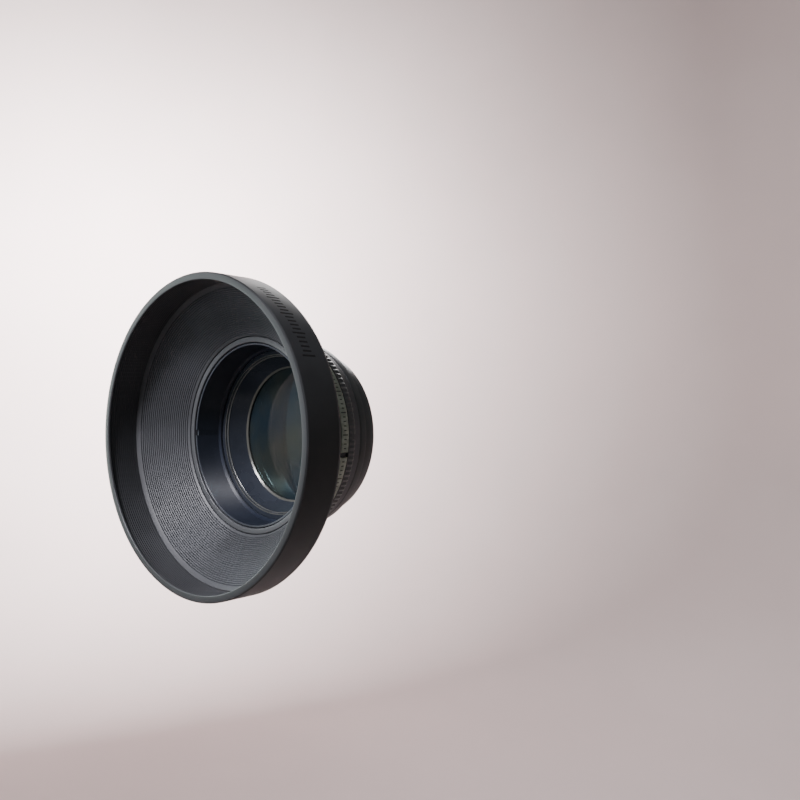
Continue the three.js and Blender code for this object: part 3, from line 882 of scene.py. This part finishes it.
upper_ear = [
    (ear_root, EAR_BACK), (ear_tip + EAR_CHAMFER, EAR_BACK), (ear_tip, EAR_BACK - EAR_CHAMFER),
    (ear_tip, EAR_FACE),
]
lower_ear = [(x, -z) for x, z in upper_ear[::-1]]
hoop = arc(CLAMP_RADIUS, EAR_BACK) + upper_ear + arc(CLAMP_BORE, EAR_FACE)[::-1] + lower_ear
sides = [[Vector((x * MM, y, z * MM)) for x, z in hoop] for y in (clamp_low.y, clamp_high.y)]
turns = len(hoop)
hoop_faces = [(i, (i + 1) % turns, (i + 1) % turns + turns, i + turns) for i in range(turns)]
hoop_faces += [tuple(range(turns))[::-1], tuple(range(turns, 2 * turns))]
clamp = solid("clamp_band_bent", sides[0] + sides[1], hoop_faces, [0.1] * 2 * turns)
carve(clamp, [hole(HOLE_RADIUS, -HOLE_REACH, HOLE_REACH, upright("clamp_screw"))], edge=0.3)
piece(clamp, "clamp_band", "hood", SMALL_BLACK)

NUT_RADIUS, NUT_STEPS = 4.2, 96
nut_bottom, nut_top = height_of("clamp_nut")
nut_outline = softened([
    (HOLE_RADIUS, nut_bottom, 0),
    (NUT_RADIUS, nut_bottom, 0),
    (NUT_RADIUS, nut_top, 0),
    (HOLE_RADIUS, nut_top, 0),
], 0.3)


def hexagonal(angle, radius, height):
    """Six flats on the outside of a nut."""
    sixth = math.pi / 3
    flat = NUT_RADIUS * math.cos(sixth / 2) / math.cos(angle % sixth - sixth / 2)
    return min(radius, flat), height


nut = rod("clamp_nut_hex", nut_outline, upright("clamp_nut"), steps=NUT_STEPS, shape=hexagonal)
piece(nut, "clamp_nut", "hood", STEEL)

CLAMP_WASHER_RADIUS = 5.0
washer_bottom, washer_top = height_of("clamp_washer")
washer_outline = softened([
    (CLAMP_WASHER_RADIUS, washer_bottom, 0),
    (CLAMP_WASHER_RADIUS, washer_top, 0),
    (HOLE_RADIUS, washer_top, 0),
    (HOLE_RADIUS, washer_bottom, 0),
], EDGE_ROUND)
washer = rod("clamp_washer_turned", washer_outline, upright("clamp_washer"))
piece(washer, "clamp_washer", "screw_washer", STEEL)

THREAD_RADIUS, THREAD_PITCH, THREAD_DEPTH = 2.0, 0.7, 0.38
THREAD_FLANK, THREAD_CREST, THREAD_TOP = 0.3, 0.1, 5.0
TIP_LENGTH, TIP_RADIUS = 0.6, 1.5
END_LENGTH, END_BEVEL, END_ROUND = 0.5, 0.3, 0.15
screw_bottom, screw_top = height_of("clamp_screw")
thread_bottom = screw_bottom + TIP_LENGTH
thread_count = round((THREAD_TOP - thread_bottom) / THREAD_PITCH)
screw_outline = [(0, screw_bottom, 0), (TIP_RADIUS, screw_bottom, 0)]
for turn in range(thread_count):
    base = thread_bottom + turn * THREAD_PITCH
    crest = base + THREAD_FLANK
    screw_outline.append((THREAD_RADIUS - THREAD_DEPTH, base, 0))
    screw_outline.append((THREAD_RADIUS, crest, 0))
    screw_outline.append((THREAD_RADIUS, crest + THREAD_CREST, 0))
screw_outline += [
    (THREAD_RADIUS, thread_bottom + thread_count * THREAD_PITCH, 0),
    (THREAD_RADIUS, screw_top - END_LENGTH, 0),
    (THREAD_RADIUS - END_BEVEL, screw_top - END_ROUND, 0),
    (THREAD_RADIUS / 2, screw_top, 0),
    (0, screw_top, 0),
]
clamp_screw = rod("clamp_screw_threaded", screw_outline, upright("clamp_screw"))
piece(clamp_screw, "clamp_screw", "thumbscrew", STEEL)

KNOB_FOOT_RADIUS, KNOB_FOOT_HEIGHT = 4.6, 0.8
KNOB_CHAMFER, KNOB_UNDERCUT = 0.5, 0.3
KNOB_TOP_CHAMFER = 0.7
KNOB_DISH_RADIUS, KNOB_DISH_SLOPE, KNOB_DISH_DEPTH = 4.2, 0.8, 0.5
KNOB_KNURLS, KNOB_KNURL_DEPTH, KNOB_KNURL_BORE, KNOB_KNURL_INSET = 36, 0.5, 5.2, 0.2
KNOB_STEPS = 6 * KNOB_KNURLS
knob_low, knob_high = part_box("clamp_knob")
knob_bottom, knob_top = height_of("clamp_knob")
knob_radius = (knob_high.x - knob_low.x) / 2 / MM
knob_skirt = knob_bottom + KNOB_FOOT_HEIGHT + KNOB_UNDERCUT
knob_outline = softened([
    (HOLE_RADIUS, knob_bottom, 0),
    (KNOB_FOOT_RADIUS, knob_bottom, 0.1),
    (KNOB_FOOT_RADIUS, knob_bottom + KNOB_FOOT_HEIGHT, 0.1),
    (knob_radius - KNOB_CHAMFER, knob_skirt, 0.1),
    (knob_radius, knob_skirt + KNOB_CHAMFER, 0.2),
    (knob_radius, knob_top - KNOB_TOP_CHAMFER, 0.2),
    (knob_radius - KNOB_TOP_CHAMFER, knob_top, 0.1),
    (KNOB_DISH_RADIUS, knob_top, 0.0),
    (KNOB_DISH_RADIUS - KNOB_DISH_SLOPE, knob_top - KNOB_DISH_DEPTH, 0.0),
    (HOLE_RADIUS, knob_top - KNOB_DISH_DEPTH, 0.0),
], EDGE_ROUND)
knob_grip = rippled(
    KNOB_KNURLS, KNOB_KNURL_DEPTH, KNOB_KNURL_BORE,
    knob_skirt + KNOB_KNURL_INSET - RIM_Y, knob_top - KNOB_CHAMFER - RIM_Y,
)
knob = rod("clamp_knob_knurled", knob_outline, upright("clamp_knob"), steps=KNOB_STEPS, shape=knob_grip)
piece(knob, "clamp_knob", "thumbscrew", SMALL_BLACK)

# ---------------------------------------------------------------- studio

FLOOR_Z = -0.62
SWEEP_REACH, SWEEP_CURVE, WALL_TOP = 2.1, 0.9, 2.2
WALL_DIRECTION, WALL_FALLOFF = math.radians(138), 3
SWEEP_STEPS, CURVE_STEPS = 96, 12
PAPER_DARK, PAPER_LIGHT = (0.65, 0.565, 0.555), (0.70, 0.61, 0.60)


def studio():
    """A pale floor that curves up into a wall behind the hood and stays flat in front of it."""
    outline = [(0.0, 0.0)]
    for step in range(CURVE_STEPS + 1):
        turn = math.pi / 2 * step / CURVE_STEPS
        outline.append((
            SWEEP_REACH - SWEEP_CURVE + SWEEP_CURVE * math.sin(turn),
            SWEEP_CURVE - SWEEP_CURVE * math.cos(turn),
        ))
    outline.append((SWEEP_REACH, WALL_TOP - FLOOR_Z))
    rows = len(outline)
    vertices, faces = [], []
    for step in range(SWEEP_STEPS):
        turn = TAU * step / SWEEP_STEPS
        rise = (0.5 + 0.5 * math.cos(turn - WALL_DIRECTION)) ** WALL_FALLOFF
        vertices += [(radius * math.cos(turn), radius * math.sin(turn), FLOOR_Z + height * rise)
                     for radius, height in outline]
        row, next_row = step * rows, (step + 1) % SWEEP_STEPS * rows
        faces += [(row + j, next_row + j, next_row + j + 1, row + j + 1) for j in range(rows - 1)]
    sweep = solid("studio_sweep", vertices, faces)
    s = Shader("pale_paint")
    mottle = s.spread(s.noise(1.3, 4.0), 0.3, 0.7)
    sweep.data.materials.append(s.finish(
        Base_Color=s.blend(mottle, PAPER_DARK, PAPER_LIGHT), Roughness=0.9,
        Normal=s.bump(s.noise(160.0), 0.1, 0.0005),
    ))


def softbox(name, place, target, size, power, colour=(1, 1, 1), spread=180, mirrored=True):
    """A square area light that looks at a point. The camera doesn't see it, and unless it is
    mirrored neither do glossy surfaces."""
    lamp = bpy.data.lights.new(name, "AREA")
    lamp.spread = math.radians(spread)
    lamp.size = size
    lamp.energy = power
    lamp.color = colour
    holder = bpy.data.objects.new(name, lamp)
    holder.location = place
    holder.rotation_euler = (Vector(target) - Vector(place)).to_track_quat("-Z", "Y").to_euler()
    holder.visible_camera = False
    holder.visible_glossy = mirrored
    bpy.context.collection.objects.link(holder)


HOOD_CENTRE = (0, -0.04, 0)

studio()
softbox("key_above", (0.03, -0.88, 0.70), HOOD_CENTRE,
        size=0.24, power=2.25, colour=(0.96, 0.94, 1.0), spread=50)
softbox("fill_left", (-1.3, -0.45, 0.15), HOOD_CENTRE,
        size=0.6, power=2.2, colour=(0.88, 1.0, 0.97), spread=60)
softbox("fill_front", (-0.35, -1.30, 0.10), HOOD_CENTRE,
        size=0.8, power=2.7, colour=(0.90, 0.99, 1.0), spread=60, mirrored=False)
softbox("rear_light", (-0.9, 1.3, 0.8), (0, 0, 0), size=0.7, power=1.3, spread=50)
softbox("wall_wash", (-1.12, 0.62, 0.45), (-1.9, 1.0, 0.38),
        size=0.5, power=72.0, colour=(1.0, 0.935, 0.935))
softbox("wall_right", (-0.15, 0.95, 0.45), (-0.25, 2.1, 0.15),
        size=0.6, power=3.0, colour=(1.0, 0.95, 0.94))

ROOM_COLOUR, ROOM_STRENGTH = (0.86, 0.90, 0.90, 1), 0.27
world = bpy.data.worlds.new("room")
bpy.context.scene.world = world
world.use_nodes = True
background = world.node_tree.nodes["Background"]
background.inputs["Color"].default_value = ROOM_COLOUR
background.inputs["Strength"].default_value = ROOM_STRENGTH

# ---------------------------------------------------------------- camera

CAMERA_FROM_RIM = Vector((0.3047, -0.2205, 0.0147))
FORWARD, UP = Vector((-0.6375, 0.7704, 0.0072)), Vector((0.0, -0.0094, 1.0))
LENS, SENSOR = 36, 36
camera = bpy.data.objects.new("camera", bpy.data.cameras.new("camera"))
camera.data.lens = LENS
camera.data.sensor_width = SENSOR
camera.data.clip_start = 0.01
back = -FORWARD.normalized()
right = UP.cross(back).normalized()
facing = Matrix((right, back.cross(right), back)).transposed()
camera.matrix_world = Matrix.Translation(CAMERA_FROM_RIM + Vector((0, RIM_Y * MM, 0))) @ facing.to_4x4()
bpy.context.collection.objects.link(camera)
bpy.context.scene.camera = camera
